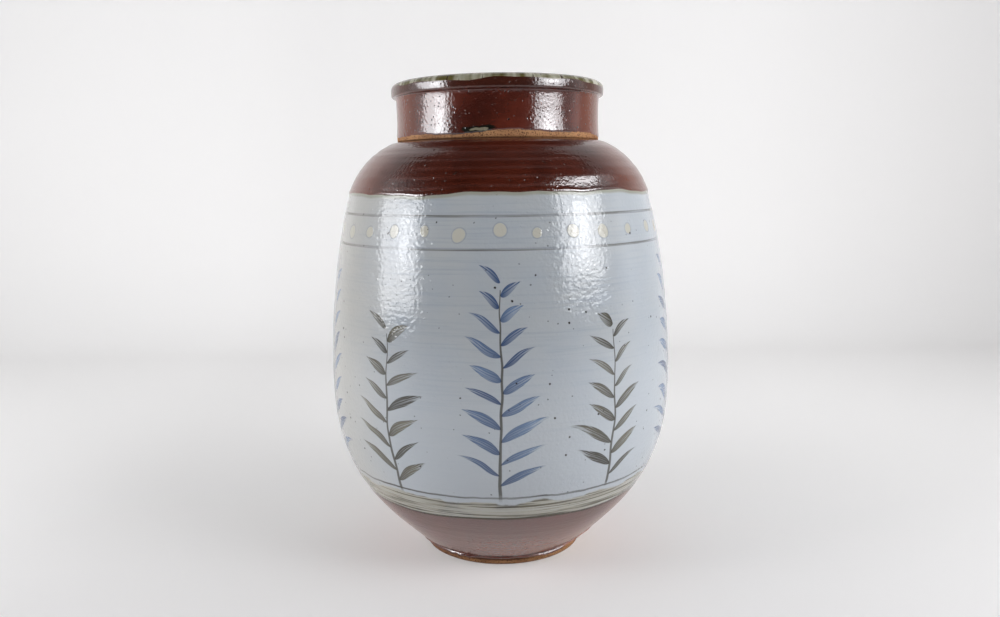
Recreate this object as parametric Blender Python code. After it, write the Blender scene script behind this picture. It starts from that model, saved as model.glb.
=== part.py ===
"""Covered urn: a thrown stoneware jar with a short neck, and a cap lid that drops over the neck.

The jar stands on a turned foot ring, swells to a full belly and closes in to a round shoulder. A level seat
is turned into the top of the shoulder, and the neck rises inside it. The lid's bare rim rests on the seat.
Units are metres, +Z is up, and the origin is the centre of the foot, on the table.
"""

import math

import bmesh
import bpy
from mathutils import Vector

# Jar: foot
FOOT_RADIUS = 0.057
FOOT_HEIGHT = 0.006
FOOT_STEP = 0.0020  # the wall above starts this far outside the bare foot
FOOT_EDGE_ROUND = 0.0012
FOOT_RING_WIDTH = 0.010
FOOT_RECESS = 0.004  # hollow turned under the base, inside the ring

# Jar: wall
WALL = 0.0075
FLOOR = 0.010
FLOOR_ROUND = 0.010
FLARE_ANGLE = math.radians(42.0)  # rise of the wall above the level where it leaves the foot
BELLY_RADIUS = 0.121
BELLY_HEIGHT = 0.128
SHOULDER_INSET = 0.016  # the wall has drawn in this far where the shoulder starts
SHOULDER_DROP = 0.035  # the shoulder starts this far below the seat
SHOULDER_LEAN = math.radians(16.5)  # lean of the wall from upright there
SEAT_HEIGHT = 0.290
SEAT_MARGIN = 0.0012  # the level seat reaches this far outside the lid
SEAT_SLOPE = math.radians(18.0)  # fall of the shoulder just outside the seat

# How far each curve's handles reach, as shares of the straight line between its ends
LOWER_FULLNESS = (0.43, 0.43)
UPPER_FULLNESS = (0.39, 0.235)
SHOULDER_FULLNESS = (0.34, 0.335)

# Jar: neck, which the lid covers
NECK_RADIUS = 0.063
NECK_WALL = 0.006
NECK_RISE = 0.028
NECK_ROOT_ROUND = 0.0008
NECK_THROAT_ROUND = 0.004

# Lid
LID_CLEARANCE = 0.0015  # all round the neck
LID_SEAT_GAP = 0.0003
LID_WALL = 0.006
LID_HEADROOM = 0.0050  # between the neck's lip and the lid's ceiling
LID_CROWN = 0.007
LID_DOME = 0.0025  # the crown rises this much to its middle
LID_WAIST = 0.0004  # the wall is drawn in this much half way up
LID_RIM_ROUND = 0.0010
LID_CEILING_ROUND = 0.004
BAND_PROUD = 0.0031  # grip band round the top of the lid
BAND_HEIGHT = 0.0095
BAND_EDGE_ROUND = 0.0012
BAND_COVE = 0.0014
CROWN_EDGE = (0.0070, 0.0042)  # rounded edge between crown and band: how far in, how far down

# Where the finishes change: the shoulder and the lid are dark, and so is the jar just above its foot
DARK_DIP = 0.051  # level that the dark glaze reaches up from the foot
BARE_RIM = 0.0045  # strip of bare clay above the lid's rim

# Fineness of the faceted solids
TURN_STEPS = 60
ARC_STEPS = 3
LONG_CURVE_STEPS = 10
SHORT_CURVE_STEPS = 6
DOME_STEPS = 4
WELD = 1e-6
SMOOTH_LIMIT = math.radians(35.0)

# Colour, roughness and metallic value of each finish
FINISHES = {
    "dark_glaze": ((0.115, 0.030, 0.020), 0.18, 0.0),
    "pale_glaze": ((0.420, 0.480, 0.540), 0.20, 0.0),
    "ash_glaze": ((0.300, 0.310, 0.200), 0.22, 0.0),
    "bare_clay": ((0.330, 0.185, 0.085), 0.75, 0.0),
}

# Worked out from the sizes above
seat_outer_radius = NECK_RADIUS + LID_CLEARANCE + LID_WALL + SEAT_MARGIN
shoulder_height = SEAT_HEIGHT - SHOULDER_DROP
neck_inner_radius = NECK_RADIUS - NECK_WALL
neck_top = SEAT_HEIGHT + NECK_RISE
floor_height = FOOT_RECESS + FLOOR
lid_base = SEAT_HEIGHT + LID_SEAT_GAP
lid_inner_radius = NECK_RADIUS + LID_CLEARANCE
lid_outer_radius = lid_inner_radius + LID_WALL
lid_ceiling = neck_top + LID_HEADROOM - lid_base
lid_edge_height = lid_ceiling + LID_CROWN
band_radius = lid_outer_radius + BAND_PROUD


def bezier(start, start_way, end, end_way, fullness, steps):
    """Points of a curve that leaves start along start_way and arrives at end along end_way."""
    reach = (end - start).length
    first = start + start_way * reach * fullness[0]
    last = end - end_way * reach * fullness[1]
    points = []
    for i in range(steps + 1):
        t = i / steps
        s = 1.0 - t
        points.append(start * s**3 + first * (3 * s * s * t) + last * (3 * s * t * t) + end * t**3)
    return points


def offset_inwards(points, thickness):
    """The same curve moved inside the wall, square to its own run, which goes up the outside."""
    moved = []
    for i, point in enumerate(points):
        before = points[max(i - 1, 0)]
        after = points[min(i + 1, len(points) - 1)]
        run = (after - before).normalized()
        moved.append(point + Vector((-run.y, run.x)) * thickness)
    return moved


def rounded_corner(before, corner, after, radius):
    """The arc that rounds a corner, kept short enough for the sides that meet there."""
    to_before = (before - corner).normalized()
    to_after = (after - corner).normalized()
    half_angle = to_before.angle(to_after) / 2
    longest = 0.49 * min((before - corner).length, (after - corner).length)
    cut = min(radius / math.tan(half_angle), longest)
    radius = cut * math.tan(half_angle)
    centre = corner + (to_before + to_after).normalized() * (radius / math.sin(half_angle))
    start = corner + to_before * cut - centre
    sweep = start.angle_signed(corner + to_after * cut - centre)
    arc = []
    for i in range(ARC_STEPS + 1):
        angle = -sweep * i / ARC_STEPS
        turned = Vector((
            start.x * math.cos(angle) - start.y * math.sin(angle),
            start.x * math.sin(angle) + start.y * math.cos(angle),
        ))
        arc.append(centre + turned)
    return arc


def rounded_path(corners):
    """A path through (radius, height, rounding) corners, with an arc at each corner that has a rounding."""
    places = [Vector(corner[:2]) for corner in corners]
    path = []
    for i, (place, corner) in enumerate(zip(places, corners)):
        if corner[2]:
            path += rounded_corner(places[i - 1], place, places[i + 1], corner[2])
        else:
            path.append(place)
    return path


def with_level(points, height):
    """The same rising curve with one more point, where it passes a height."""
    for i, (low, high) in enumerate(zip(points, points[1:]), start=1):
        if low.y < height < high.y:
            share = (height - low.y) / (high.y - low.y)
            return points[:i] + [low.lerp(high, share)] + points[i:]
    return points


def wall_curve():
    """The outside of the jar from the foot up to the seat: lower wall, upper wall and shoulder."""
    flare_start = Vector((FOOT_RADIUS + FOOT_STEP, FOOT_HEIGHT))
    belly = Vector((BELLY_RADIUS, BELLY_HEIGHT))
    shoulder = Vector((BELLY_RADIUS - SHOULDER_INSET, shoulder_height))
    seat_edge = Vector((seat_outer_radius, SEAT_HEIGHT))
    flare_way = Vector((math.cos(FLARE_ANGLE), math.sin(FLARE_ANGLE)))
    upright = Vector((0.0, 1.0))
    leaning = Vector((-math.sin(SHOULDER_LEAN), math.cos(SHOULDER_LEAN)))
    seat_way = Vector((-math.cos(SEAT_SLOPE), math.sin(SEAT_SLOPE)))
    lower = bezier(flare_start, flare_way, belly, upright, LOWER_FULLNESS, LONG_CURVE_STEPS)
    upper = bezier(belly, upright, shoulder, leaning, UPPER_FULLNESS, SHORT_CURVE_STEPS)
    turn = bezier(shoulder, leaning, seat_edge, seat_way, SHOULDER_FULLNESS, SHORT_CURVE_STEPS)
    return with_level(lower + upper[1:] + turn[1:], DARK_DIP)


def jar_profile():
    """The jar's wall in section, from the middle of the underside, up the outside, and back down inside."""
    ring_inner = FOOT_RADIUS - FOOT_RING_WIDTH
    foot = rounded_path([
        (0.0, FOOT_RECESS, 0),
        (ring_inner, FOOT_RECESS, FOOT_EDGE_ROUND),
        (ring_inner, 0.0, FOOT_EDGE_ROUND),
        (FOOT_RADIUS, 0.0, FOOT_EDGE_ROUND),
        (FOOT_RADIUS, FOOT_HEIGHT, 0),
    ])
    outside = wall_curve()
    lip = NECK_WALL / 2
    neck = rounded_path([
        (seat_outer_radius, SEAT_HEIGHT, 0),
        (NECK_RADIUS, SEAT_HEIGHT, NECK_ROOT_ROUND),
        (NECK_RADIUS, neck_top, lip),
        (neck_inner_radius, neck_top, lip),
        (neck_inner_radius, SEAT_HEIGHT - WALL, NECK_THROAT_ROUND),
        (seat_outer_radius, SEAT_HEIGHT - WALL, 0),
    ])[1:-1]
    hollow = [p for p in offset_inwards(outside, WALL) if p.y > floor_height + FLOOR_ROUND / 2]
    inside = [p for p in reversed(hollow) if p.x > neck_inner_radius + NECK_THROAT_ROUND]
    last, lowest = inside[-2], inside[-1]
    run_down = (lowest - last) / (last.y - lowest.y)
    corner = lowest + run_down * (lowest.y - floor_height)
    floor = rounded_path([
        (lowest.x, lowest.y, 0),
        (corner.x, corner.y, FLOOR_ROUND),
        (0.0, floor_height, 0),
    ])[1:]
    return foot + outside + neck + inside + floor


def dome(edge_radius, edge_height, rise):
    """Points of a shallow dome from its middle out to its edge."""
    points = []
    for i in range(DOME_STEPS + 1):
        share = i / DOME_STEPS
        points.append(Vector((edge_radius * share, edge_height + rise * (1.0 - share * share))))
    return points


def lid_profile():
    """The lid's wall in section, from the middle of the crown, down the outside, and back up inside."""
    crown_in, crown_down = CROWN_EDGE
    crown_radius = band_radius - crown_in
    crown = dome(crown_radius, lid_edge_height, LID_DOME)
    edge = []
    for i in range(1, ARC_STEPS + 1):
        angle = math.pi / 2 * i / ARC_STEPS
        edge.append(Vector((
            crown_radius + crown_in * math.sin(angle),
            lid_edge_height - crown_down * (1.0 - math.cos(angle)),
        )))
    band_foot = lid_edge_height - BAND_HEIGHT
    waist = lid_outer_radius - LID_WAIST
    wall = rounded_path([
        (edge[-1].x, edge[-1].y, 0),
        (band_radius, band_foot, BAND_EDGE_ROUND),
        (lid_outer_radius, band_foot, BAND_COVE),
        (waist, band_foot / 2, 0),
        (lid_outer_radius, BARE_RIM, 0),
        (lid_outer_radius, 0.0, LID_RIM_ROUND),
        (lid_inner_radius, 0.0, LID_RIM_ROUND),
        (lid_inner_radius, lid_ceiling, LID_CEILING_ROUND),
        (0.0, lid_ceiling, 0),
    ])[1:-1]
    ceiling = dome(wall[-1].x, lid_ceiling, LID_DOME)[-2::-1]
    return crown + edge + wall + ceiling


def glaze_material(name):
    colour, roughness, metallic = FINISHES[name]
    material = bpy.data.materials.new(name)
    material.use_nodes = True
    shader = material.node_tree.nodes["Principled BSDF"]
    shader.inputs["Base Color"].default_value = (*colour, 1.0)
    shader.inputs["Roughness"].default_value = roughness
    shader.inputs["Metallic"].default_value = metallic
    material.diffuse_color = (*colour, 1.0)
    return material


def jar_finish(middle, outward):
    """The finish on the jar at a face: outward is true on the outside of the wall."""
    radius = math.hypot(middle.x, middle.y)
    if middle.z < FOOT_HEIGHT and radius < FOOT_RADIUS + FOOT_STEP:
        return "bare_clay"
    if middle.z > SEAT_HEIGHT - WELD or (outward and middle.z < floor_height and radius < FOOT_RADIUS):
        return "bare_clay"
    if not outward or middle.z < DARK_DIP or middle.z > shoulder_height:
        return "dark_glaze"
    return "pale_glaze"


def lid_finish(middle, outward):
    """The finish on the lid at a face, in the lid's own frame, whose level zero is its rim."""
    if middle.z < BARE_RIM and outward or middle.z < LID_RIM_ROUND:
        return "bare_clay"
    if outward and middle.z > lid_edge_height - CROWN_EDGE[1] / 2:
        return "ash_glaze"
    return "dark_glaze"


def turned_piece(name, profile, finish_of, finishes, height, carrier):
    """One solid turned on the wheel: the section spun about Z, standing at a height on the axis."""
    shape = bmesh.new()
    points = [shape.verts.new((p.x, 0.0, p.y)) for p in profile]
    edges = [shape.edges.new(pair) for pair in zip(points, points[1:])]
    bmesh.ops.spin(
        shape, geom=points + edges, cent=(0, 0, 0), axis=(0, 0, 1),
        angle=2 * math.pi, steps=TURN_STEPS, use_merge=True,
    )
    bmesh.ops.remove_doubles(shape, verts=shape.verts, dist=WELD)
    bmesh.ops.recalc_face_normals(shape, faces=shape.faces)
    for face in shape.faces:
        middle = face.calc_center_median()
        outward = face.normal.dot(middle - Vector((0, 0, middle.z))) + abs(face.normal.z) * WELD > 0
        face.material_index = finishes.index(finish_of(middle, outward))
    mesh = bpy.data.meshes.new(name)
    shape.to_mesh(mesh)
    shape.free()
    for finish in finishes:
        mesh.materials.append(bpy.data.materials.get(finish) or glaze_material(finish))
    mesh.shade_smooth()
    mesh.set_sharp_from_angle(angle=SMOOTH_LIMIT)
    piece = bpy.data.objects.new(name, mesh)
    piece.location = (0.0, 0.0, height)
    piece.parent = carrier
    bpy.context.scene.collection.objects.link(piece)
    return piece


def build_urn():
    for old in list(bpy.data.objects):
        bpy.data.objects.remove(old)
    urn = bpy.data.objects.new("covered_urn", None)
    bpy.context.scene.collection.objects.link(urn)
    turned_piece("jar", jar_profile(), jar_finish, ["pale_glaze", "dark_glaze", "bare_clay"], 0.0, urn)
    turned_piece("lid", lid_profile(), lid_finish, ["dark_glaze", "ash_glaze", "bare_clay"], lid_base, urn)


build_urn()
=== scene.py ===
"""Looks of the covered urn: the thrown and glazed surfaces of its jar and lid, and the studio round them.

Each piece follows the half section of its CAD solid, so it stands where the solid stands. Finer rings are
turned along that section, and throwing lines, rolled glaze edges and bare clay are worked into them.
Units are metres, and a bearing is an angle round the pot, from the camera's side to the right.
"""

import math
from bisect import bisect_right
from functools import lru_cache, partial

import bmesh
import bpy
from mathutils import Matrix, Vector, noise
from mathutils.geometry import interpolate_bezier


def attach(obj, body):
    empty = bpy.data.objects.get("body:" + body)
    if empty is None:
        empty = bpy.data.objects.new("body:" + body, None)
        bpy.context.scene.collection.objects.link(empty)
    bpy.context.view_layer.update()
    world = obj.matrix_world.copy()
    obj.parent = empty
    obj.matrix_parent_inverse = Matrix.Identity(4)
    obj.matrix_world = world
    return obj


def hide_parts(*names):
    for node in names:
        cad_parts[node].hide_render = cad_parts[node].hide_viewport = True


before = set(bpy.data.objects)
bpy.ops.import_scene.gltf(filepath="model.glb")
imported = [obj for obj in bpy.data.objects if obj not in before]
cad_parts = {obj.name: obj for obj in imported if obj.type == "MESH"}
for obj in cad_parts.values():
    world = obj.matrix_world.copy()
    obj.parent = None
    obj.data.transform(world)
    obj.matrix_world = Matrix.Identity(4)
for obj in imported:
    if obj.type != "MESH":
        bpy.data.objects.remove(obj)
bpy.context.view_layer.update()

# Levels on the jar
FOOT_GLAZE = 0.0061  # the glaze stops here, above the bare foot
FOOT_ROLL = 0.0011  # radius of the roll that the glaze makes there
DARK_DIP = 0.051  # the iron glaze above the foot reaches up to here
SHOULDER_DIP = 0.256  # the iron glaze on the shoulder runs down to here
SEAT = 0.2899
SHOULDER_RIDGE = 0.0100  # the crest of a broad throwing ridge stands this far above the shoulder dip
RIDGE_SIDE = (0.78, 0.45)  # bearing of the ridge, and the width over which it fades
SHOULDER_RINGS = (0.0107, 0.00645)  # a throwing ring's place above the dip, and the step to the next
BARE_PATCH = (1.15, 0.38)  # bearing and width of the place where the glaze stops higher above the foot
BARE_PATCH_RISE = 0.0145

# Levels on the lid
BARE_RIM = 0.2940  # the glaze stops here, above the rim
BAND_FOOT = 0.3205  # under edge of the grip band
BAND_BEAD = 0.3190  # a fine bead is turned below the band
CROWN_GLAZE = 0.3259  # the ash glaze on the crown runs down to here

# Thickness of the iron glaze, and height of the marks of throwing
IRON_NEAR_FOOT = 0.00015
IRON_ON_SHOULDER = 0.00022
IRON_SHOULDER_EDGE = 0.00028  # where it gathered at its edge
IRON_ON_LID = 0.00025
IRON_LID_EDGE = 0.00012
RIDGE_HEIGHT = 0.00056
RING_HEIGHT = 0.00004
BEAD_HEIGHT = 0.0002
LINES_ON_SHOULDER = 0.00016
LINES_NEAR_FOOT = 0.00010
LINES_ON_LID = 0.00006
BELLY_SWELL = 0.00025

# Fineness of the turned surfaces
TURN_STEPS = 300
LINE_STEP = 0.0004  # along the smooth section line
CORNER = math.radians(50.0)  # a section corner sharper than this stays sharp
WELD = 1e-5

# Brushwork
PAINT_RADIUS = 0.118
SPRIG_COUNT = 10
SPRIG_FOOT = 0.074
SPRIG_TALL = 0.127
SPRIG_SHORT = 0.098
LEAF_PITCH = 0.0150
LEAF_HALF_WIDTH = 0.0036
LEAF_LONGEST = 0.034
LEAF_SHORTEST = 0.014
LEAF_RISE = 0.75
LEAF_CURL = 9.0  # per metre
BORDER_LINES = (0.2235, 0.2430)
DOT_COUNT = 3 * SPRIG_COUNT
DOT_RADIUS = 0.0043
BAND_TOP = 0.0655
SCAR_PLACE = (-0.0122, -0.0690, 0.2958)

# Studio
IMAGE_WIDTH = 1000
FOCAL_PIXELS = 845.0
SENSOR_WIDTH = 36.0
CAMERA_PLACE = Vector((0.0, -0.6090, 0.2653))
CAMERA_PITCH = 0.1535
CAMERA_ROLL = 0.013
URN_MIDDLE = 0.22  # height from which the windows and lamps are sighted
WINDOW_DISTANCE = 1.1
CORE_DISTANCE = 0.96  # the bright middle of a window stands in front of it
LAMP_DISTANCE = 1.2
LAMP_RISE = 0.36  # as a share of its distance
LAMP_SIZE = 0.8
PAPER_WIDTH = 7.0
PAPER_FRONT = -2.5
PAPER_BACK = 0.82
PAPER_TOP = 2.4
PAPER_BEND = 0.16
PAPER_LIFT = (0.045, 0.32)  # in front of the urn and behind it
PAPER_DIM = (0.15, 0.60, 0.9)  # between these heights the lift falls to this share
PAPER_SHADE = (0.1, 1.0, 1.0, 0.5)  # and so it does between these places on the right


def linear(hex_colour):
    """An sRGB hex colour as linear RGBA."""
    channels = [int(hex_colour[i:i + 2], 16) / 255 for i in (1, 3, 5)]
    return [c / 12.92 if c <= 0.04045 else ((c + 0.055) / 1.055) ** 2.4 for c in channels] + [1.0]


def node(tree, kind, inputs=(), **settings):
    """Adds a shader node with its settings and returns its first output.

    Its inputs are fed in order or by name, each with a value or with another node's output.
    """
    made = tree.nodes.new("ShaderNode" + kind)
    for name, value in settings.items():
        setattr(made, name, value)
    sockets = [socket for socket in made.inputs if socket.enabled]
    named = inputs.items() if isinstance(inputs, dict) else zip(sockets, inputs)
    for socket, given in named:
        if isinstance(socket, str):
            socket = next(s for s in sockets if s.name == socket)
        if isinstance(given, bpy.types.NodeSocket):
            tree.links.new(given, socket)
        else:
            socket.default_value = given
    return next(socket for socket in made.outputs if socket.enabled)


def new_finish(name, ior):
    """An empty material, its node adder and the coordinates of the piece that wears it."""
    material = bpy.data.materials.new(name)
    material.use_nodes = True
    tree = material.node_tree
    tree.nodes["Principled BSDF"].inputs["IOR"].default_value = ior
    add = partial(node, tree)
    place = add("TexCoord").node.outputs["Object"]
    return material, add, place


def fire(material, colour, bump, roughness):
    """Gives a finish the colour, the relief and the roughness that were worked out for it."""
    shader = material.node_tree.nodes["Principled BSDF"]
    shader.inputs["Roughness"].default_value = roughness
    material.node_tree.links.new(colour, shader.inputs["Base Color"])
    material.node_tree.links.new(bump, shader.inputs["Normal"])
    return material


def ripple(angle, waves):
    """The height of a few waves round the pot: each has a count, a size and a start."""
    return sum(size * math.sin(count * angle + start) for count, size, start in waves)


def bell(distance, width):
    """A smooth hump, one in the middle and fading out over a width."""
    return math.exp(-((distance / width) ** 2))


def bead(distance, radius):
    """The height of a round bead, nought beyond its radius."""
    return math.sqrt(max(radius ** 2 - distance ** 2, 0.0))


def rise(distance, width):
    """A smooth step from nought to one across a width."""
    t = min(max(distance / width + 0.5, 0.0), 1.0)
    return t * t * (3.0 - 2.0 * t)


class SectionLine:
    """A turned piece's half section as a smooth line, with the clay on its left from end to end."""

    def __init__(self, node_name):
        """Follows a CAD node's section, with the run and the way out of the clay at each point."""
        self.points = self.smooth(self.corners(node_name))
        self.runs = [0.0]
        for before, after in zip(self.points, self.points[1:]):
            self.runs.append(self.runs[-1] + (after - before).length)
        self.ways_out = []
        for i in range(len(self.points)):
            way = self.points[min(i + 1, len(self.points) - 1)] - self.points[max(i - 1, 0)]
            self.ways_out.append(Vector((way.y, -way.x)).normalized())

    @staticmethod
    def corners(node_name):
        """The section's corners, walked from the lower end on the axis to the upper one."""
        solid = bmesh.new()
        solid.from_mesh(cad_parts[node_name].data)
        bmesh.ops.remove_doubles(solid, verts=solid.verts, dist=WELD)
        cut = {v for v in solid.verts if abs(v.co.y) < WELD and v.co.x > -WELD}
        beside = {v: [e.other_vert(v) for e in v.link_edges if e.other_vert(v) in cut] for v in cut}
        walked = [min((v for v in cut if len(beside[v]) == 1), key=lambda v: v.co.z)]
        while len(walked) < len(cut):
            walked += [v for v in beside[walked[-1]] if v not in walked]
        corners = [Vector((0.0, walked[0].co.z))]
        corners += [Vector((v.co.x, v.co.z)) for v in walked if v.co.x > WELD]
        corners.append(Vector((0.0, walked[-1].co.z)))
        solid.free()
        return corners

    @staticmethod
    def smooth(corners):
        """Close points on a curve through the corners, with the sharp corners kept."""
        ways = []
        for i, corner in enumerate(corners):
            before = corner - corners[max(i - 1, 0)]
            after = corners[min(i + 1, len(corners) - 1)] - corner
            sharp = before.length and after.length and before.angle(after) > CORNER
            both = (before + after).normalized()
            ways.append((before.normalized(), after.normalized()) if sharp else (both, both))
        points = [corners[0]]
        for i in range(len(corners) - 1):
            start, end = corners[i], corners[i + 1]
            reach = (end - start).length / 3
            steps = 2 + int((end - start).length / LINE_STEP)
            curve = interpolate_bezier(
                start, start + ways[i][1] * reach, end - ways[i + 1][0] * reach, end, steps)
            points += curve[1:]
        return points

    def at(self, run):
        """The place on the line at a run along it, and the way out of the clay there."""
        i = min(max(bisect_right(self.runs, run), 1), len(self.runs) - 1)
        share = (run - self.runs[i - 1]) / (self.runs[i] - self.runs[i - 1])
        return (
            self.points[i - 1].lerp(self.points[i], share),
            self.ways_out[i - 1].lerp(self.ways_out[i], share).normalized(),
        )

    def rising_past(self, height, after=0.0):
        """The first run after a given one at which the line climbs past a height."""
        for i in range(1, len(self.points)):
            if self.runs[i] > after and self.points[i - 1].y < height <= self.points[i].y:
                return self.runs[i]
        raise ValueError(f"the section never climbs past {height}")

    def top(self):
        """The run at the line's highest place."""
        return max(zip((p.y for p in self.points), self.runs))[1]


def stations(stretches, end):
    """Runs of the rings to turn: each stretch starts at a run and has its own ring spacing."""
    starts = [start for start, spacing in stretches] + [end]
    rings = []
    for (start, spacing), stop in zip(stretches, starts[1:]):
        count = max(1, round((stop - start) / spacing))
        rings += [start + (stop - start) * i / count for i in range(count)]
    return rings + [end]


def turn(name, line, rings, slide, relief, finishes):
    """Turns a section on the wheel, then lets each ring slide along the wall and rise or sink as worked in.

    slide and relief give both for a run and a bearing.
    finishes is a list of (run where the finish ends, material).
    The run of each ring is kept as the attribute "run".
    """
    clay = bmesh.new()
    run_layer = clay.verts.layers.float.new("run")
    ring_points = []
    for run in rings:
        place = line.at(run)[0]
        point = clay.verts.new((place.x, 0.0, place.y))
        point[run_layer] = run
        ring_points.append(point)
    edges = [clay.edges.new(pair) for pair in zip(ring_points, ring_points[1:])]
    bmesh.ops.spin(
        clay, geom=ring_points + edges, cent=(0, 0, 0), axis=(0, 0, 1),
        angle=2 * math.pi, steps=TURN_STEPS, use_merge=True,
    )
    bmesh.ops.remove_doubles(clay, verts=clay.verts, dist=WELD)
    for point in clay.verts:
        run = point[run_layer]
        if 0.0 < run < rings[-1]:
            angle = math.atan2(point.co.x, -point.co.y)
            place, way_out = line.at(run + slide(run, angle))
            place = place + way_out * relief(run, angle)
            point.co = (place.x * math.sin(angle), -place.x * math.cos(angle), place.y)
    bmesh.ops.recalc_face_normals(clay, faces=clay.faces)
    ends = [end for end, finish in finishes]
    for face in clay.faces:
        middle = sum(v[run_layer] for v in face.verts) / len(face.verts)
        face.material_index = min(bisect_right(ends, middle), len(ends) - 1)
        face.smooth = True
    mesh = bpy.data.meshes.new(name)
    clay.to_mesh(mesh)
    clay.free()
    for end, finish in finishes:
        mesh.materials.append(finish)
    piece = bpy.data.objects.new(name, mesh)
    bpy.context.scene.collection.objects.link(piece)
    return piece


def to_the_right(add, place):
    """How far round the pot a place is: 1 at its right side, -1 at its left, nought in front and behind."""
    around = add("VectorMath", (place, (1.0, 1.0, 0.0)), operation="MULTIPLY")
    around = add("VectorMath", [around], operation="NORMALIZE")
    return add("SeparateXYZ", [around])


def iron_red_glaze(name, ior, lined, thick, thin, marks=None):
    """Iron-red stoneware glaze, dipped: a soft gloss over dark red-brown, with pinholes and blisters.

    Its two sides, as the camera sees them, are painted a warmer, paler red: painted side light.
    Above the foot the glaze is thinner and paler; the paleness grows to the right as a painted reflection of
    the lit floor.
    lined is how much the throwing lines show through; thick and thin are its colours where it lies so.
    marks adds the marks of one piece.
    """
    material, add, place = new_finish(name, ior)
    height = add("SeparateXYZ", [place]).node.outputs["Z"]
    cloud = add("TexNoise", {"Vector": place, "Scale": 1 / 0.030, "Detail": 3.0})
    stretched = add("Mapping", {"Vector": place, "Scale": (1 / 0.090, 1 / 0.090, 1 / 0.0024)})
    lines = add("TexNoise", {"Vector": stretched, "Scale": 1.0, "Detail": 3.0})
    thinned = add("Math", (lines, lined, cloud), operation="MULTIPLY_ADD")
    near_foot = add("MapRange", (height, 0.060, 0.050, 0.0, 0.35))
    thinned = add("Math", (thinned, near_foot), operation="ADD")
    thinned = add("MapRange", (thinned, 0.35, 0.75 + lined / 2), interpolation_type="SMOOTHSTEP")
    colour = add("Mix", (thinned, linear(thick), linear(thin)), data_type="RGBA")
    right = to_the_right(add, place)
    side = add("Math", [right], operation="ABSOLUTE")
    # painted side light: the left and right sides, as the camera sees them, are painted a warmer, paler red
    painted_side_light = add("MapRange", (side, 0.66, 0.88, 0.0, 0.85), interpolation_type="SMOOTHSTEP")
    colour = add("Mix", (painted_side_light, colour, linear("#7a412d")), data_type="RGBA")
    # thinner glaze above the foot, painted paler; its growth to the right is a painted reflection of the lit
    # floor
    thin_and_floor_lit_right = add("MapRange", (right, -0.8, 0.8, 0.3, 1.0))
    thin_and_floor_lit = add("MapRange", (height, 0.045, 0.015, 0.0, thin_and_floor_lit_right), interpolation_type="SMOOTHSTEP")
    above_roll = add("MapRange", (height, 0.0085, 0.0105))
    thin_and_floor_lit = add("Math", (thin_and_floor_lit, above_roll), operation="MULTIPLY")
    colour = add("Mix", (thin_and_floor_lit, colour, linear("#97614e")), data_type="RGBA")
    hole = pinholes(add, place)
    colour = add("Mix", (hole, colour, linear("#120705")), data_type="RGBA")
    if marks:
        colour = marks(add, place, colour)
    peel = add("TexNoise", {"Vector": place, "Scale": 1 / 0.0018, "Detail": 1.5})
    dip = add("Math", (hole, -0.95, peel), operation="MULTIPLY_ADD")
    bump = add("Bump", {"Height": dip, "Distance": 0.00015})
    bump = blisters(add, place, bump)
    bump = add("Bump", {"Height": lines, "Distance": 0.00017 * lined, "Normal": bump})
    return fire(material, colour, bump, 0.15)


def pinholes(add, place):
    """Pinholes of many sizes: 1 in the middle of a hole, and nought where the glaze is whole."""
    cells = add("TexVoronoi", {"Vector": place, "Scale": 1 / 0.0028})
    chance = add("SeparateColor", [cells.node.outputs["Color"]]).node.outputs
    chosen = add("Math", (chance["Red"], 0.45), operation="GREATER_THAN")
    size = add("MapRange", (chance["Green"], 0.0, 1.0, 0.10, 0.30))
    hole = add("Math", (cells, size), operation="DIVIDE")
    hole = add("MapRange", (hole, 1.0, 0.3), interpolation_type="SMOOTHSTEP")
    return add("Math", (hole, chosen), operation="MULTIPLY")


def shoulder_marks(add, place, colour, dip):
    """Marks of the jar's glaze: it breaks thin on the throwing rings, and iron specks bled through.

    dip is the run at which the glaze ends on the shoulder.
    """
    first, step = SHOULDER_RINGS
    run = add("Attribute", attribute_name="run").node.outputs["Fac"]
    turns = add("Math", (run, dip + first), operation="SUBTRACT")
    turns = add("Math", (turns, 2 * math.pi / step), operation="MULTIPLY")
    crest = add("Math", [turns], operation="COSINE")
    crest = add("MapRange", (crest, 0.1, 1.0), interpolation_type="SMOOTHSTEP")
    height = add("SeparateXYZ", [place]).node.outputs["Z"]
    on_shoulder = add("MapRange", (height, SHOULDER_DIP - 0.01, SHOULDER_DIP))
    cloud = add("TexNoise", {"Vector": place, "Scale": 1 / 0.025, "Detail": 2.0})
    thin = add("MapRange", (cloud, 0.35, 0.65, 0.08, 0.26))
    crest = add("Math", (crest, thin), operation="MULTIPLY")
    crest = add("Math", (crest, on_shoulder), operation="MULTIPLY")
    # painted shade: the front of the shoulder, as the camera sees it, is darkened towards #220b07, and its
    # sides are left lit
    side = add("Math", [to_the_right(add, place)], operation="ABSOLUTE")
    painted_front_shade = add("MapRange", (side, 0.55, 0.85, 0.30, 0.0), interpolation_type="SMOOTHSTEP")
    painted_front_shade = add("Math", (painted_front_shade, on_shoulder), operation="MULTIPLY")
    colour = add("Mix", (painted_front_shade, colour, linear("#220b07")), data_type="RGBA")
    colour = add("Mix", (crest, colour, linear("#75504a")), data_type="RGBA")
    return iron_specks(add, place, colour)


def blisters(add, place, bump):
    """Small blisters where the glaze boiled, on top of another bump. They glint beside the reflections."""
    cells = add("TexVoronoi", {"Vector": place, "Scale": 1 / 0.0044})
    chosen = add("SeparateColor", [cells.node.outputs["Color"]])
    chosen = add("Math", (chosen, 0.45), operation="GREATER_THAN")
    blister = add("MapRange", (cells, 0.22, 0.04), interpolation_type="SMOOTHSTEP")
    blister = add("Math", (blister, chosen), operation="MULTIPLY")
    return add("Bump", {"Height": blister, "Distance": 0.00010, "Normal": bump})


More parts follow.
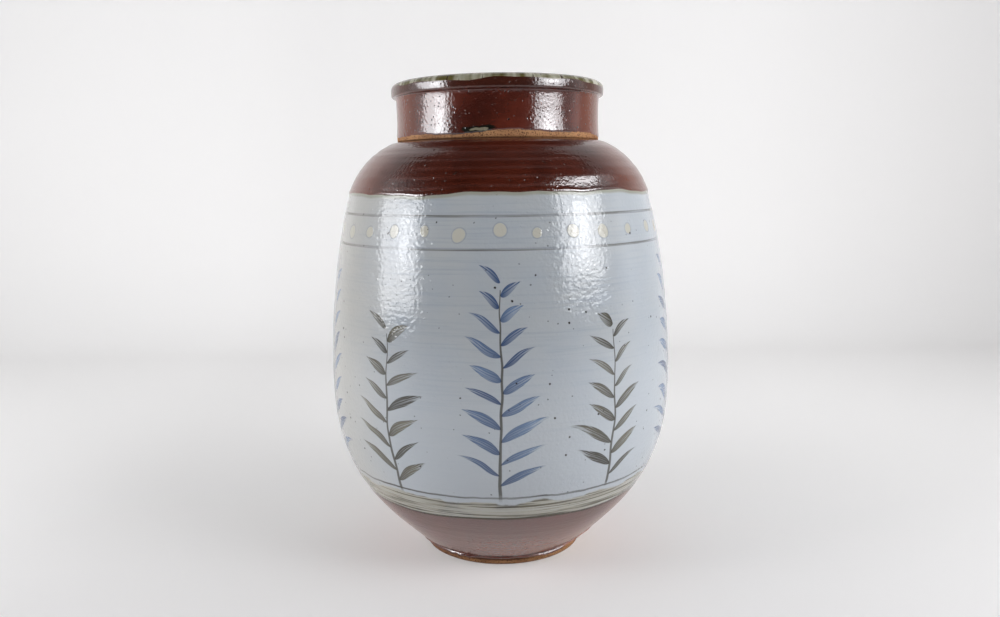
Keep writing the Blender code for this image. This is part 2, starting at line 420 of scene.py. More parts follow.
def lid_marks(add, place, colour):
    """Marks of the lid's glaze: it pools darker on the grip band and crawled off a small scar above the rim.

    The scar is black-green, with a pale middle.
    """
    height = add("SeparateXYZ", [place]).node.outputs["Z"]
    pool = add("MapRange", (height, BAND_FOOT - 0.0006, BAND_FOOT + 0.0010, 0.0, 0.6))
    colour = add("Mix", (pool, colour, linear("#2a150b")), data_type="RGBA")
    drift = add("TexNoise", {"Vector": place, "Scale": 1 / 0.008, "Detail": 2.0}).node.outputs["Color"]
    drift = add("VectorMath", (drift, (0.5, 0.5, 0.5)), operation="SUBTRACT")
    shaken = add("VectorMath", (drift, (0.012, 0.012, 0.005), place), operation="MULTIPLY_ADD")
    off = add("VectorMath", (shaken, SCAR_PLACE), operation="SUBTRACT")
    off = add("VectorMath", (off, (1 / 0.0125, 1 / 0.030, 1 / 0.0024)), operation="MULTIPLY")
    off = add("VectorMath", [off], operation="LENGTH").node.outputs["Value"]
    dark = add("MapRange", (off, 1.0, 0.8), interpolation_type="SMOOTHSTEP")
    pale = add("MapRange", (off, 0.55, 0.40), interpolation_type="SMOOTHSTEP")
    colour = add("Mix", (dark, colour, linear("#14160d")), data_type="RGBA")
    return add("Mix", (pale, colour, linear("#86806c")), data_type="RGBA")


def bare_stoneware(name, edge, marks=None):
    """Unglazed stoneware clay, turned and kiln-fired: dry, grainy, tan to orange-brown.

    Painted shade darkens it along its lowest edge, which is at the height edge. marks adds the marks of one
    piece.
    """
    material, add, place = new_finish(name, 1.5)
    cloud = add("TexNoise", {"Vector": place, "Scale": 1 / 0.018, "Detail": 4.0})
    grit = add("TexNoise", {"Vector": place, "Scale": 1 / 0.0009, "Detail": 2.0})
    colour = add("Mix", (cloud, linear("#8f5d3a"), linear("#c79768")), data_type="RGBA")
    speck = add("MapRange", (grit, 0.50, 0.66), interpolation_type="SMOOTHSTEP")
    colour = add("Mix", (speck, colour, linear("#55341d")), data_type="RGBA")
    if marks:
        colour = marks(add, place, colour)
    height = add("SeparateXYZ", [place]).node.outputs["Z"]
    # painted shade along the lowest edge, where the clay meets the jar's seat or the floor
    above = add("Math", (height, edge), operation="SUBTRACT")
    painted_edge_shade = add("MapRange", (above, 0.0014, 0.0005, 0.0, 0.4), interpolation_type="SMOOTHSTEP")
    colour = add("Mix", (painted_edge_shade, colour, linear("#3a2110")), data_type="RGBA")
    bump = add("Bump", {"Height": grit, "Distance": 0.00022})
    return fire(material, colour, bump, 0.8)


def shade_line_and_glaze_run(add, place, colour):
    """Painted shade: a dark line under the glaze roll. Also a run of iron from the glaze that stained the
    left side brown.
    """
    height = add("SeparateXYZ", [place]).node.outputs["Z"]
    side = to_the_right(add, place)
    # painted shade: a dark line just under the glaze roll, fading out towards the right
    line = add("MapRange", (height, 0.0028, 0.0036), interpolation_type="SMOOTHSTEP")
    shade_line_end = add("MapRange", (side, 0.20, 0.52, 0.8, 0.0), interpolation_type="SMOOTHSTEP")
    line = add("Math", (line, shade_line_end), operation="MULTIPLY")
    colour = add("Mix", (line, colour, linear("#4a2311")), data_type="RGBA")
    stain = add("MapRange", (side, -0.34, -0.68, 0.0, 0.6), interpolation_type="SMOOTHSTEP")
    return add("Mix", (stain, colour, linear("#6b4631")), data_type="RGBA")


def wood_ash_glaze():
    """Runny wood-ash glaze over iron: mottled olive and cream, with runs and dark breaks at the edge."""
    material, add, place = new_finish("wood_ash_glaze", 1.6)
    flat = add("VectorMath", (place, (1.0, 1.0, 0.0)), operation="MULTIPLY")
    out = add("VectorMath", [flat], operation="LENGTH").node.outputs["Value"]
    around = add("VectorMath", [flat], operation="NORMALIZE")
    streaming = add("VectorMath", (around, (0.075, 0.075, 0.0)), operation="MULTIPLY")
    streaming = add("VectorMath", (place, (0.15, 0.15, 0.15), streaming), operation="MULTIPLY_ADD")
    streak = add("TexNoise", {"Vector": streaming, "Scale": 1 / 0.010, "Detail": 2.0})
    mottle = add("TexNoise", {"Vector": place, "Scale": 1 / 0.010, "Detail": 7.0, "Roughness": 0.68})
    near_edge = add("MapRange", (out, 0.050, 0.066), interpolation_type="SMOOTHSTEP")
    cloud = add("Mix", (near_edge, mottle, streak))
    pool = add("MapRange", (cloud, 0.40, 0.62), interpolation_type="SMOOTHSTEP")
    colour = add("Mix", (pool, linear("#5c5530"), linear("#b9b6a3")), data_type="RGBA")
    broken = add("TexNoise", {"Vector": streaming, "Scale": 1 / 0.005, "Detail": 3.0})
    gap = add("MapRange", (broken, 0.60, 0.68), interpolation_type="SMOOTHSTEP")
    gap = add("Math", (gap, near_edge), operation="MULTIPLY")
    colour = add("Mix", (gap, colour, linear("#3a2412")), data_type="RGBA")
    bump = add("Bump", {"Height": cloud, "Distance": 0.0003})
    return fire(material, colour, bump, 0.15)


def pale_glaze(low, high):
    """Blue-grey stoneware glaze: glossy, milkier lower down, brushed in streaks and flecked with iron.

    It carries the brushwork. low and high are the runs at which the iron glaze meets it.
    """
    material, add, place = new_finish("pale_stoneware_glaze", 1.6)
    run = add("Attribute", attribute_name="run").node.outputs["Fac"]
    cloud = add("TexNoise", {"Vector": place, "Scale": 1 / 0.035, "Detail": 3.0})
    colour = add("Mix", (cloud, linear("#a6b0bc"), linear("#bbbcb9")), data_type="RGBA")
    stretched = add("Mapping", {"Vector": place, "Scale": (1 / 0.045, 1 / 0.045, 1 / 0.0013)})
    streak = add("TexNoise", {"Vector": stretched, "Scale": 1.0, "Detail": 4.0})
    wash = add("MapRange", (streak, 0.45, 0.75), interpolation_type="SMOOTHSTEP")
    wash = add("Math", (wash, 0.30), operation="MULTIPLY")
    colour = add("Mix", (wash, colour, linear("#8593a6")), data_type="RGBA")
    level = add("SeparateXYZ", [place]).node.outputs["Z"]
    milky = add("MapRange", (level, 0.200, 0.085, 0.0, 0.8), interpolation_type="SMOOTHSTEP")
    colour = add("Mix", (milky, colour, linear("#c2c9d0")), data_type="RGBA")
    drift = add("TexNoise", {"Vector": place, "Scale": 1 / 0.035, "Detail": 1.0}).node.outputs["Color"]
    drift = add("VectorMath", (drift, (0.5, 0.5, 0.5)), operation="SUBTRACT")
    shaken = add("VectorMath", (drift, (0.009, 0.009, 0.009), place), operation="MULTIPLY_ADD")
    axes = add("SeparateXYZ", [shaken]).node.outputs
    front = add("Math", (axes["Y"], -1.0), operation="MULTIPLY")
    angle = add("Math", (axes["X"], front), operation="ARCTAN2")
    side = to_the_right(add, place)
    # painted light: the belly's left and right sides, as the camera sees them, are painted paler, warm on
    # the left and cool on the right
    painted_left_light = add("MapRange", (side, -0.48, -0.89, 0.0, 0.6), interpolation_type="SMOOTHSTEP")
    colour = add("Mix", (painted_left_light, colour, linear("#beb9ae")), data_type="RGBA")
    painted_right_light = add("MapRange", (side, 0.48, 0.89, 0.0, 0.6), interpolation_type="SMOOTHSTEP")
    colour = add("Mix", (painted_right_light, colour, linear("#c2c9d0")), data_type="RGBA")
    colour = leaf_sprigs(add, axes["Z"], angle, colour)
    colour, slip = dotted_border(add, level, axes["Z"], angle, streak, colour)
    colour = brushed_band(add, level, place, streak, colour)
    colour = iron_specks(add, place, colour)
    under = add("Math", (high, run), operation="SUBTRACT")
    halo = add("MapRange", (under, 0.0028, 0.0010), interpolation_type="SMOOTHSTEP")
    colour = add("Mix", (halo, colour, linear("#9fa094")), data_type="RGBA")
    over = add("Math", (run, low), operation="SUBTRACT")
    lapped = add("MapRange", (over, 0.0022, 0.0012), interpolation_type="SMOOTHSTEP")
    colour = add("Mix", (lapped, colour, linear("#3f3b2c")), data_type="RGBA")
    peel = add("TexNoise", {"Vector": place, "Scale": 1 / 0.0024, "Detail": 1.5})
    bump = blisters(add, place, add("Bump", {"Height": peel, "Distance": 0.00024}))
    bump = add("Bump", {"Height": streak, "Distance": 0.00005, "Normal": bump})
    bump = add("Bump", {"Height": slip, "Distance": 0.0001, "Normal": bump})
    return fire(material, colour, bump, 0.09)


def leaf_sprigs(add, height, angle, colour):
    """Leaf sprigs brushed round the belly, tall in cobalt and short in olive by turns, on brown stems."""
    spacing = 2 * math.pi * PAINT_RADIUS / SPRIG_COUNT
    turns = add("Math", (angle, SPRIG_COUNT / (2 * math.pi)), operation="MULTIPLY")
    nearest = add("Math", [turns], operation="ROUND")
    sprig = add("Math", (nearest, SPRIG_COUNT), operation="FLOORED_MODULO")
    across = add("Math", (turns, nearest), operation="SUBTRACT")
    across = add("Math", (across, spacing), operation="MULTIPLY")
    up = add("Math", (height, SPRIG_FOOT), operation="SUBTRACT")
    odd = add("Math", (sprig, 2.0), operation="MODULO")
    tallness = add("MapRange", (odd, 0.0, 1.0, SPRIG_TALL, SPRIG_SHORT))
    colour = sprig_leaves(add, sprig, odd, across, up, tallness, colour)
    return sprig_stem(add, across, up, tallness, colour)


def sprig_leaves(add, sprig, odd, across, up, tallness, colour):
    """Leaves to both sides of a stem, each one stroke: full and dark at the stem, dry at the tip."""
    side = add("Math", [across], operation="SIGN")
    out = add("Math", [across], operation="ABSOLUTE")
    bend = add("Math", (out, -LEAF_CURL, LEAF_RISE), operation="MULTIPLY_ADD")
    climb = add("Math", (out, bend), operation="MULTIPLY")
    climb = add("Math", (up, climb), operation="SUBTRACT")
    step = add("Math", (climb, 1 / LEAF_PITCH), operation="MULTIPLY")
    step = add("Math", (side, 0.25, step), operation="MULTIPLY_ADD")
    leaf = add("Math", [step], operation="FLOOR")
    off = add("Math", (step, leaf), operation="SUBTRACT")
    off = add("Math", (off, 0.5), operation="SUBTRACT")
    off = add("Math", (off, LEAF_PITCH), operation="MULTIPLY")
    which = add("CombineXYZ", (leaf, side, sprig))
    chance = add("TexWhiteNoise", [which]).node.outputs["Color"]
    chance = add("SeparateColor", [chance]).node.outputs
    share = add("Math", (leaf, LEAF_PITCH), operation="MULTIPLY")
    share = add("Math", (share, tallness), operation="DIVIDE")
    length = add("MapRange", (share, 0.0, 1.0, LEAF_LONGEST, LEAF_SHORTEST))
    stretch = add("MapRange", (chance["Red"], 0.0, 1.0, 0.75, 1.1))
    length = add("Math", (length, stretch), operation="MULTIPLY")
    along = add("Math", (out, length), operation="DIVIDE")
    along = add("Math", (along, 1.0), operation="MINIMUM")
    swell = add("Math", (along, 0.65), operation="POWER")
    swell = add("Math", (swell, math.pi), operation="MULTIPLY")
    swell = add("Math", [swell], operation="SINE")
    girth = add("MapRange", (chance["Green"], 0.0, 1.0, 0.7 * LEAF_HALF_WIDTH, 1.2 * LEAF_HALF_WIDTH))
    girth = add("Math", (swell, girth), operation="MULTIPLY")
    apart = add("Math", [off], operation="ABSOLUTE")
    inside = add("Math", (girth, apart), operation="SUBTRACT")
    ink = add("MapRange", (inside, 0.0, 0.0006), interpolation_type="SMOOTHSTEP")
    grown = add("Math", (leaf, -0.5), operation="GREATER_THAN")
    ink = add("Math", (ink, grown), operation="MULTIPLY")
    grown = add("Math", (share, 1.0), operation="LESS_THAN")
    ink = add("Math", (ink, grown), operation="MULTIPLY")
    hair_place = add("CombineXYZ", (out, off, add("Math", (leaf, 0.05), operation="MULTIPLY")))
    hair_place = add("Mapping", {"Vector": hair_place, "Scale": (1 / 0.018, 1 / 0.0009, 1.0)})
    hair = add("TexNoise", {"Vector": hair_place, "Scale": 1.0, "Detail": 2.0})
    dry = add("MapRange", (hair, 0.46, 0.62), interpolation_type="SMOOTHSTEP")
    dry = add("Math", (dry, along), operation="MULTIPLY")
    load = add("MapRange", (dry, 0.0, 1.0, 0.95, 0.10))
    ink = add("Math", (ink, load), operation="MULTIPLY")
    cobalt = add("Mix", (chance["Blue"], linear("#2f4a76"), linear("#7089ab")), data_type="RGBA")
    olive = add("Mix", (chance["Blue"], linear("#332f21"), linear("#75705d")), data_type="RGBA")
    paint = add("Mix", (odd, cobalt, olive), data_type="RGBA")
    pooled = add("MapRange", (inside, 0.0012, 0.0004), interpolation_type="SMOOTHSTEP")
    pooled = add("Math", (pooled, 0.5), operation="MULTIPLY")
    heavy = add("MapRange", (along, 0.05, 0.60, 0.6, 0.0))
    pooled = add("Math", (pooled, heavy), operation="MAXIMUM")
    rim = add("Mix", (odd, linear("#223a63"), linear("#25211a")), data_type="RGBA")
    paint = add("Mix", (pooled, paint, rim), data_type="RGBA")
    return add("Mix", (ink, colour, paint), data_type="RGBA")


def sprig_stem(add, across, up, tallness, colour):
    """The stem of a sprig, which thins out to its top."""
    out = add("Math", [across], operation="ABSOLUTE")
    taper = add("Math", (up, tallness), operation="DIVIDE")
    thick = add("MapRange", (taper, 0.0, 1.0, 0.0014, 0.0006))
    stem = add("Math", (thick, out), operation="SUBTRACT")
    stem = add("MapRange", (stem, 0.0, 0.0006), interpolation_type="SMOOTHSTEP")
    grown = add("Math", (taper, 1.0), operation="LESS_THAN")
    stem = add("Math", (stem, grown), operation="MULTIPLY")
    grown = add("MapRange", (taper, -0.07, -0.01), interpolation_type="SMOOTHSTEP")
    stem = add("Math", (stem, grown), operation="MULTIPLY")
    stem = add("Math", (stem, 0.85), operation="MULTIPLY")
    return add("Mix", (stem, colour, linear("#3d3a2d")), data_type="RGBA")


def dotted_border(add, level, height, angle, streak, colour):
    """A row of cream slip dots between two thin iron lines. Also returns where the slip lies.

    The lines run level on the wheel; the dots follow height, which wavers with the hand.
    """
    for line_level in BORDER_LINES:
        off = add("Math", (level, line_level), operation="SUBTRACT")
        off = add("Math", [off], operation="ABSOLUTE")
        line = add("MapRange", (off, 0.0011, 0.0005), interpolation_type="SMOOTHSTEP")
        worn = add("MapRange", (streak, 0.35, 0.60, 0.75, 0.25))
        line = add("Math", (line, worn), operation="MULTIPLY")
        colour = add("Mix", (line, colour, linear("#4a473b")), data_type="RGBA")
    turns = add("Math", (angle, DOT_COUNT / (2 * math.pi)), operation="MULTIPLY")
    nearest = add("Math", [turns], operation="ROUND")
    across = add("Math", (turns, nearest), operation="SUBTRACT")
    across = add("Math", (across, 2 * math.pi * PAINT_RADIUS / DOT_COUNT), operation="MULTIPLY")
    off = add("Math", (height, sum(BORDER_LINES) / 2), operation="SUBTRACT")
    off = add("CombineXYZ", (across, off, 0.0))
    off = add("VectorMath", [off], operation="LENGTH").node.outputs["Value"]
    dot = add("Math", (nearest, DOT_COUNT), operation="FLOORED_MODULO")
    chance = add("TexWhiteNoise", [dot], noise_dimensions="1D")
    radius = add("MapRange", (chance, 0.0, 1.0, 0.8 * DOT_RADIUS, 1.15 * DOT_RADIUS))
    inside = add("Math", (radius, off), operation="SUBTRACT")
    edge = add("Math", [inside], operation="ABSOLUTE")
    edge = add("MapRange", (edge, 0.0008, 0.0002, 0.0, 0.25), interpolation_type="SMOOTHSTEP")
    colour = add("Mix", (edge, colour, linear("#667184")), data_type="RGBA")
    slip = add("MapRange", (inside, 0.0, 0.0006), interpolation_type="SMOOTHSTEP")
    cover = add("Math", (slip, 0.9), operation="MULTIPLY")
    return add("Mix", (cover, colour, linear("#c3c0b2")), data_type="RGBA"), slip


def brushed_band(add, height, place, streak, colour):
    """A broad grey-olive band brushed round the foot of the painting, with a thin dark line above it."""
    edge = add("TexNoise", {"Vector": place, "Scale": 1 / 0.020, "Detail": 3.0})
    ragged = add("Math", (edge, 0.010, height), operation="MULTIPLY_ADD")
    ragged = add("Math", (ragged, 0.005), operation="SUBTRACT")
    band = add("MapRange", (ragged, BAND_TOP + 0.0008, BAND_TOP - 0.0008), interpolation_type="SMOOTHSTEP")
    worn = add("MapRange", (streak, 0.38, 0.66, 0.95, 0.45))
    cover = add("Math", (band, worn), operation="MULTIPLY")
    stroke = add("MapRange", (streak, 0.40, 0.58), interpolation_type="SMOOTHSTEP")
    olive = add("Mix", (stroke, linear("#605a44"), linear("#b9b197")), data_type="RGBA")
    laden = add("MapRange", (edge, 0.52, 0.66), interpolation_type="SMOOTHSTEP")
    thinner = add("MapRange", (streak, 0.42, 0.60, 0.85, 0.0))
    laden = add("Math", (laden, thinner), operation="MULTIPLY")
    olive = add("Mix", (laden, olive, linear("#343021")), data_type="RGBA")
    colour = add("Mix", (cover, colour, olive), data_type="RGBA")
    off = add("Math", (edge, 0.0030, height), operation="MULTIPLY_ADD")
    off = add("Math", (off, BAND_TOP + 0.0055), operation="SUBTRACT")
    off = add("Math", [off], operation="ABSOLUTE")
    line = add("MapRange", (off, 0.0010, 0.0004), interpolation_type="SMOOTHSTEP")
    line = add("Math", (line, worn), operation="MULTIPLY")
    return add("Mix", (line, colour, linear("#3a372b")), data_type="RGBA")


def iron_specks(add, place, colour):
    """Iron grains of the clay bled through the glaze: fine grey ones often, larger black ones seldom."""
    drift = add("TexNoise", {"Vector": place, "Scale": 1 / 0.0015, "Detail": 1.0}).node.outputs["Color"]
    place = add("VectorMath", (drift, (0.0008, 0.0008, 0.0008), place), operation="MULTIPLY_ADD")
    for spread, rarity, size, depth in ((0.0065, 0.25, 0.0007, 0.6), (0.011, 0.45, 0.0010, 0.95)):
        cells = add("TexVoronoi", {"Vector": place, "Scale": 1 / spread})
        chosen = add("SeparateColor", [cells.node.outputs["Color"]])
        chosen = add("Math", (chosen, rarity), operation="GREATER_THAN")
        edge = size / spread
        speck = add("MapRange", (cells, edge, 0.5 * edge), interpolation_type="SMOOTHSTEP")
        speck = add("Math", (speck, chosen), operation="MULTIPLY")
        speck = add("Math", (speck, depth), operation="MULTIPLY")
        colour = add("Mix", (speck, colour, linear("#28201a")), data_type="RGBA")
    return colour


def glazed_jar():
    """The jar: bare foot and neck, pale glaze on the belly, and iron-red glaze elsewhere and inside."""
    line = SectionLine("jar")
    foot = line.rising_past(FOOT_GLAZE)
    low = line.rising_past(DARK_DIP)
    high = line.rising_past(SHOULDER_DIP)
    seat = line.rising_past(SEAT)
    lip = line.top()
    end = line.runs[-1]
    foot_waves = ((2, 0.0003, 2.2), (9, 0.0002, 0.7))
    low_waves = ((2, 0.0006, 0.4), (5, 0.0005, 1.9), (11, 0.0003, 4.2))
    high_waves = ((3, 0.0009, 0.6), (7, 0.0006, 2.1), (13, 0.0004, 4.0), (31, 0.0002, 1.0))
    roll_waves = ((31, 0.10, 0.0), (17, 0.12, 2.0))
    roll_drips = (  # each with its bearing, its width and how much it adds to the roll
        (1.25, 0.40, -0.85),
        (0.56, 0.14, 1.3),
        (-0.40, 0.03, 0.9),
        (-0.50, 0.035, 1.1),
        (-0.62, 0.04, 0.9),
    )

    @lru_cache(None)
    def shares(run):
        """How much of each kind of work a ring gets."""
        on_shoulder = rise(run - high - 0.004, 0.006) * rise(seat - 0.004 - run, 0.004)
        near_foot = rise(run - foot - 0.006, 0.004) * rise(low - run - 0.002, 0.004)
        on_belly = rise(run - low - 0.004, 0.008) * rise(high - run - 0.004, 0.008)
        glaze = IRON_NEAR_FOOT * rise(low - run, 0.0010)
        glaze += IRON_ON_SHOULDER * rise(run - high, 0.0010)
        glaze += IRON_SHOULDER_EDGE * bell(run - high - 0.0012, 0.0011)
        glazed = rise(run - foot, 0.001) * rise(seat - 0.002 - run, 0.001)
        crest = high + SHOULDER_RIDGE
        first, step = SHOULDER_RINGS
        rings = RING_HEIGHT * on_shoulder * math.cos(2 * math.pi * (run - high - first) / step)
        return (
            glaze * glazed + rings,
            bead(run - foot - FOOT_ROLL, FOOT_ROLL),
            RIDGE_HEIGHT * rise(run - crest + 0.0024, 0.0048) * rise(crest + 0.007 - run, 0.014),
            LINES_ON_SHOULDER * on_shoulder + LINES_NEAR_FOOT * near_foot,
            BELLY_SWELL * on_belly,
        )

    @lru_cache(None)
    def holds(run):
        """How far a ring follows each wavering glaze edge: above the foot, low down and on the shoulder."""
        return (
            rise(run - foot + 0.00075, 0.0015) * bell(max(run - foot, 0.0), 0.020),
            bell(run - low, 0.010),
            bell(run - high, 0.012),
        )

    def slide(run, angle):
        """How far a ring runs up or down the wall with the glaze edges."""
        at_foot, at_low, at_high = holds(run)
        along = 0.0
        if at_foot > WELD:
            bearing, width = BARE_PATCH
            patch = BARE_PATCH_RISE * bell(angle - bearing, width)
            along += at_foot * (patch + ripple(angle, foot_waves))
        if at_low > WELD:
            along += at_low * ripple(angle, low_waves)
        if at_high > WELD:
            along += at_high * ripple(angle, high_waves)
        return along

    def relief(run, angle):
        """Glaze laid on the clay, rolled at its edges, and the lines that the fingers left."""
        glaze, roll, ridge, throwing, swell = shares(run)
        bearing, width = RIDGE_SIDE
        height = glaze + ridge * bell(angle - bearing, width)
        if roll > WELD:
            drips = sum(size * bell(angle - middle, spread) for middle, spread, size in roll_drips)
            height += roll * (1.0 + drips + ripple(angle, roll_waves))
        around = Vector((math.sin(angle), math.cos(angle), 0.0))
        if throwing:
            height += throwing * noise.noise(0.7 * around + Vector((0, 0, run / 0.0026)))
        if swell:
            height += swell * noise.noise(1.5 * around + Vector((0, 0, run / 0.020)))
        return height

    rings = stations([
        (0.0, 0.008),
        (foot - 0.024, 0.0020),
        (foot - 0.004, 0.0008),
        (foot - 0.0015, 0.00015),
        (foot + 2 * FOOT_ROLL, 0.0005),
        (foot + 0.005, 0.0015),
        (low - 0.002, 0.0005),
        (low + 0.002, 0.0028),
        (high - 0.006, 0.0012),
        (high - 0.0015, 0.0004),
        (high + 0.003, 0.0009),
        (seat, 0.0012),
        (seat + 0.012, 0.0030),
        (lip - 0.005, 0.0010),
        (lip + 0.005, 0.006),
    ], end)
    rings = [run for run in rings if not foot < run < foot + 2 * FOOT_ROLL]
    rings += [foot + FOOT_ROLL * (1 - math.cos(math.pi * i / 18)) for i in range(1, 18)]
    rings.sort()
    clay = bare_stoneware("bare_foot_clay", 0.0, shade_line_and_glaze_run)
    marks = partial(shoulder_marks, dip=high)
    iron = iron_red_glaze("iron_red_jar_glaze", 2.1, 0.75, "#2e0f09", "#5f291b", marks)
    finishes = [
        (foot + 1.5 * FOOT_ROLL, clay),
        (low, iron),
        (high, pale_glaze(low, high)),
        (seat, iron),
        (lip, clay),
        (end, iron),
    ]
    jar = turn("glazed_jar", line, rings, slide, relief, finishes)
    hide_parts("jar")
    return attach(jar, "jar")


def glazed_lid():
    """The lid: iron-red glaze inside and on the wall and band, wood-ash glaze on the crown, bare rim."""
    line = SectionLine("lid")
    rim = min(zip((p.y for p in line.points), line.runs))[1]
    bare = line.rising_past(BARE_RIM, rim)
    band = line.rising_past(BAND_FOOT, rim)
    bead_run = line.rising_past(BAND_BEAD, rim)
    crown = line.rising_past(CROWN_GLAZE, rim)
    end = line.runs[-1]
    bare_waves = ((3, 0.0009, 0.63), (7, 0.00075, 0.96), (29, 0.00015, 3.0), (67, 0.00012, 1.0))
    crown_waves = ((4, 0.0006, 0.3), (9, 0.0005, 1.1), (17, 0.0003, 2.2))

    @lru_cache(None)
    def shares(run):
        """How much of each kind of work a ring gets."""
        glaze = IRON_ON_LID * rise(run - bare, 0.0010) + IRON_LID_EDGE * bell(run - bare - 0.001, 0.001)
        turned = BEAD_HEIGHT * bell(run - bead_run, 0.0006)
        on_wall = rise(run - bare - 0.003, 0.004) * rise(band - 0.003 - run, 0.002)
        return glaze + turned, LINES_ON_LID * on_wall

    def slide(run, angle):
        """How far a ring runs up or down the wall with the glaze edges."""
        if run < rim:
            return 0.0
        return (
            ripple(angle, bare_waves) * bell(run - bare, 0.003)
            + ripple(angle, crown_waves) * bell(run - crown, 0.003)
        )

    def relief(run, angle):
        """Glaze rolled above the bare rim, the bead below the band, and throwing lines."""
        if run < rim:
            return 0.0
        worked, throwing = shares(run)
        around = Vector((0.7 * math.sin(angle), 0.7 * math.cos(angle), run / 0.004))
        return worked + throwing * noise.noise(around)

    rings = stations([
        (0.0, 0.006),
        (rim - 0.012, 0.0015),
        (rim, 0.0008),
        (bare - 0.001, 0.0004),
        (bare + 0.003, 0.0012),
        (band - 0.002, 0.0004),
        (crown + 0.004, 0.0010),
        (crown + 0.014, 0.004),
    ], end)
    clay = bare_stoneware("bare_rim_clay", SEAT)
    iron = iron_red_glaze("iron_red_lid_glaze", 1.9, 0.15, "#40160d", "#64291b", lid_marks)
    finishes = [(rim - 0.003, iron), (bare, clay), (crown, iron), (end, wood_ash_glaze())]
    lid = turn("glazed_lid", line, rings, slide, relief, finishes)
    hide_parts("lid")
    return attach(lid, "lid")


def paper_sweep():
    """Seamless white paper: a matt floor that curves up into a backdrop.

    Where it is seen, also in the glaze, it is lifted towards white, without lighting the urn any more.
    """
    material, add, place = new_finish("white_paper", 1.4)
    shader = material.node_tree.nodes["Principled BSDF"]
    shader.inputs["Base Color"].default_value = linear("#e3e1e0")
    shader.inputs["Roughness"].default_value = 0.9
    shader.inputs["Emission Color"].default_value = linear("#ffffff")
    seen = add("LightPath").node.outputs
    seen = add("Math", (seen["Is Camera Ray"], seen["Is Glossy Ray"]), operation="MAXIMUM")
    axes = add("SeparateXYZ", [place]).node.outputs
    lift = add("MapRange", (axes["Y"], -0.5, 0.4, *PAPER_LIFT), interpolation_type="SMOOTHSTEP")
    right = add("MapRange", (axes["X"], 0.05, 0.45, 0.0, 0.07), interpolation_type="SMOOTHSTEP")
    lift = add("Math", (lift, right), operation="ADD")
    left = add("MapRange", (axes["X"], -0.28, -0.45, 0.0, 0.03), interpolation_type="SMOOTHSTEP")
    lift = add("Math", (lift, left), operation="ADD")
    low, high, dimmed = PAPER_DIM
    dim = add("MapRange", (axes["Z"], low, high, 1.0, dimmed), interpolation_type="SMOOTHSTEP")
    lift = add("Math", (lift, dim), operation="MULTIPLY")
    shade = add("MapRange", (axes["X"], *PAPER_SHADE), interpolation_type="SMOOTHSTEP")
    lift = add("Math", (lift, shade), operation="MULTIPLY")
    lift = add("Math", (seen, lift), operation="MULTIPLY")
    material.node_tree.links.new(lift, shader.inputs["Emission Strength"])
    paper = bmesh.new()
    corners = ((PAPER_FRONT, 0.0), (PAPER_BACK, 0.0), (PAPER_BACK, PAPER_TOP))
    side = [paper.verts.new((-PAPER_WIDTH / 2, y, z)) for y, z in corners]
    for pair in zip(side, side[1:]):
        paper.edges.new(pair)
    bmesh.ops.bevel(
        paper, geom=[side[1]], offset=PAPER_BEND, offset_type="OFFSET", segments=12, profile=0.5,
        affect="VERTICES", material=-1,
    )
    grown = bmesh.ops.extrude_edge_only(paper, edges=paper.edges[:])["geom"]
    far_side = [g for g in grown if isinstance(g, bmesh.types.BMVert)]
    bmesh.ops.translate(paper, vec=(PAPER_WIDTH, 0, 0), verts=far_side)
    bmesh.ops.recalc_face_normals(paper, faces=paper.faces)
    for face in paper.faces:
        face.smooth = True
    stage_piece("paper_sweep", paper, material)


def stage_piece(name, shape, material):
    """Makes a shape into a piece of the studio, which is no part of the urn."""
    mesh = bpy.data.meshes.new(name)
    shape.to_mesh(mesh)
    shape.free()
    mesh.materials.append(material)
    piece = bpy.data.objects.new(name, mesh)
    bpy.context.scene.collection.objects.link(piece)
    return piece


def window(name, corners, distance, radiance):
    """A soft white window, which the glaze mirrors and the camera doesn't see.

    Its corners are (azimuth, elevation) seen from the urn, azimuth from the camera's side.
    """
    material = bpy.data.materials.new(name)
    material.use_nodes = True
    shader = material.node_tree.nodes["Principled BSDF"]
    shader.inputs["Base Color"].default_value = linear("#000000")
    shader.inputs["Emission Color"].default_value = linear("#fbfcff")
    shader.inputs["Emission Strength"].default_value = radiance
    pane = bmesh.new()
    points = []
    for azimuth, elevation in corners:
        bearing = math.radians(azimuth)
        points.append(pane.verts.new((
            distance * math.sin(bearing),
            -distance * math.cos(bearing),
            URN_MIDDLE + distance * math.tan(math.radians(elevation)),
        )))
    pane.faces.new(points)
    stage_piece(name, pane, material).visible_camera = False


def fill_lamp(name, azimuth, power):
    """A broad soft lamp that lights one side of the urn and stays out of sight and of its reflections."""
    light = bpy.data.lights.new(name, "AREA")
    light.size = LAMP_SIZE
    light.energy = power
    lamp = bpy.data.objects.new(name, light)
    bearing = math.radians(azimuth)
    outward = Vector((math.sin(bearing), -math.cos(bearing), LAMP_RISE))
    lamp.location = LAMP_DISTANCE * outward + Vector((0.0, 0.0, URN_MIDDLE))
    lamp.rotation_euler = outward.to_track_quat("Z", "Y").to_euler()
    lamp.visible_glossy = False
    lamp.visible_camera = False
    bpy.context.scene.collection.objects.link(lamp)


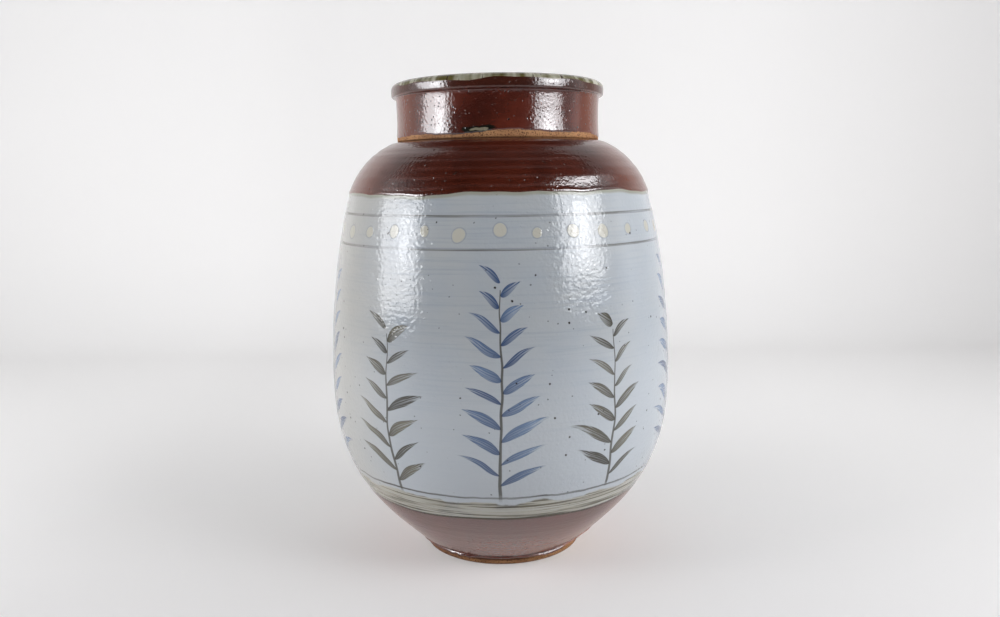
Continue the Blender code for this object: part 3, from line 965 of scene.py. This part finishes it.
def studio():
    """White paper, two soft lamps, two windows with bright middles, and a room lit behind the urn."""
    paper_sweep()
    fill_lamp("left_fill", -74, 4.0)
    fill_lamp("right_fill", 74, 4.8)
    window("left_window", ((-53, -1), (-80, -3), (-94, 21), (-57, 28)), WINDOW_DISTANCE, 6.1)
    window("left_window_core", ((-59, 7), (-67, 6), (-73, 19), (-64, 20)), CORE_DISTANCE, 12.0)
    window("right_window", ((41, 4.5), (69, 2.5), (84, 31), (44, 38)), WINDOW_DISTANCE, 6.0)
    window("right_window_core", ((50, 11), (60, 10), (66, 22), (55, 24)), CORE_DISTANCE, 13.0)
    world = bpy.data.worlds.new("studio_room")
    bpy.context.scene.world = world
    world.use_nodes = True
    add = partial(node, world.node_tree)
    way = add("TexCoord").node.outputs["Generated"]
    ways = add("SeparateXYZ", [way]).node.outputs
    behind = add("MapRange", (ways["Y"], -0.40, 0.30, 0.03, 1.0), interpolation_type="SMOOTHSTEP")
    overhead = add("MapRange", (ways["Z"], 0.4, 0.8, 1.0, 0.05), interpolation_type="SMOOTHSTEP")
    strength = add("Math", (behind, overhead), operation="MULTIPLY")
    seen = add("LightPath").node.outputs["Is Camera Ray"]
    strength = add("Mix", (seen, strength, 0.6))
    background = world.node_tree.nodes["Background"]
    background.inputs["Color"].default_value = linear("#f4f4f6")
    world.node_tree.links.new(strength, background.inputs["Strength"])


def camera():
    """The photo's view."""
    eye = bpy.data.objects.new("camera", bpy.data.cameras.new("camera"))
    eye.data.sensor_width = SENSOR_WIDTH
    eye.data.lens = FOCAL_PIXELS * SENSOR_WIDTH / IMAGE_WIDTH
    turned = Matrix.Rotation(math.pi / 2 - CAMERA_PITCH, 4, "X") @ Matrix.Rotation(-CAMERA_ROLL, 4, "Z")
    eye.matrix_world = Matrix.Translation(CAMERA_PLACE) @ turned
    bpy.context.scene.collection.objects.link(eye)
    bpy.context.scene.camera = eye


bpy.context.scene.view_settings.view_transform = "Standard"
glazed_jar()
glazed_lid()
studio()
camera()
